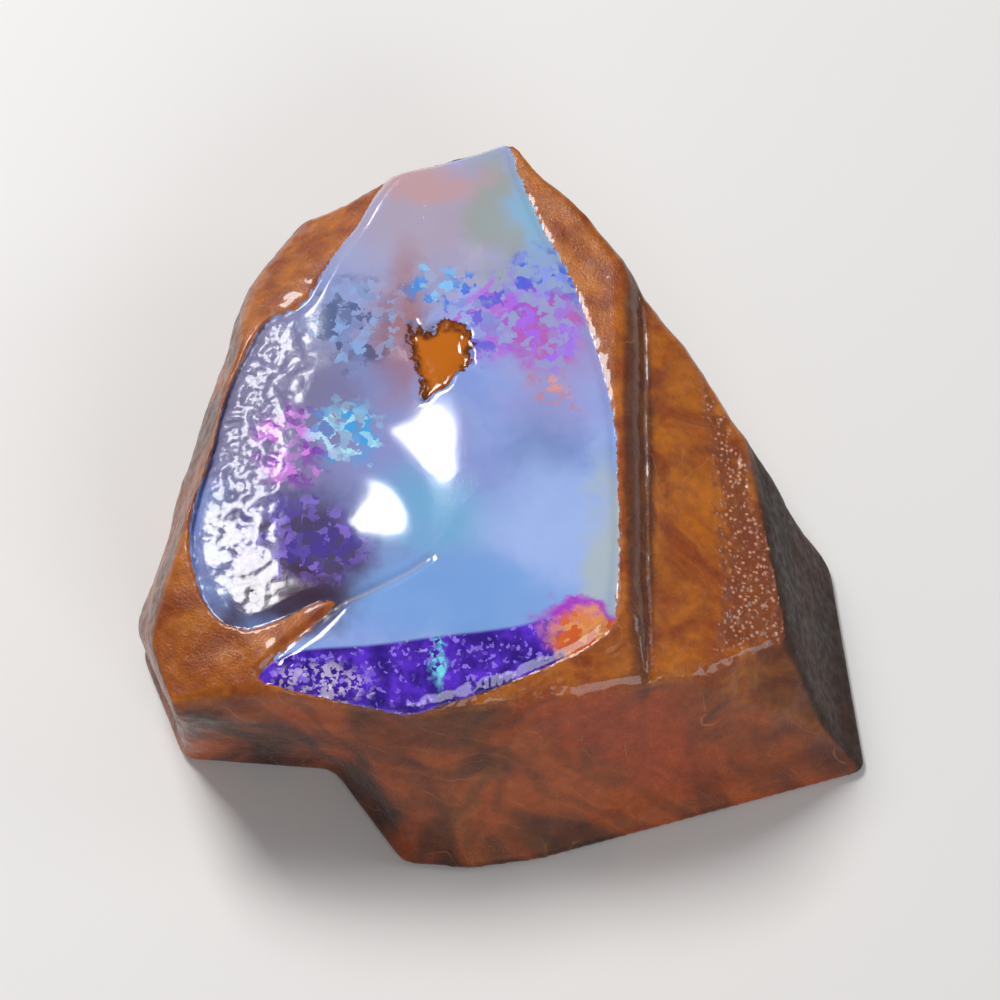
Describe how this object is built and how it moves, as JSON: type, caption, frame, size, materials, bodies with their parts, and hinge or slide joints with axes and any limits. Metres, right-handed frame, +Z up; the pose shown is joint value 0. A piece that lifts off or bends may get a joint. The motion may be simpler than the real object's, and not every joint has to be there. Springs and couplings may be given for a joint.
{
  "type": "rough boulder opal",
  "caption": "Trimmed block of brown ironstone with a milky blue opal seam across its upper face and a stepped ledge on its right, resting on a flat sawn base.",
  "frame": {"origin": "under the middle of the block, on the plane of the sawn base that it rests on", "axes": "+Z up out of the opal face, +X to the right towards the ledge, +Y to the back towards the pointed end"},
  "size_m": [0.0407, 0.0401, 0.0132],
  "materials": {
    "boulder_opal": "wet-looking brown ironstone with a polished milky blue opal seam"
  },
  "bodies": {
    "root": {"boulder_opal": "boulder_opal"}
  },
  "joints": []
}
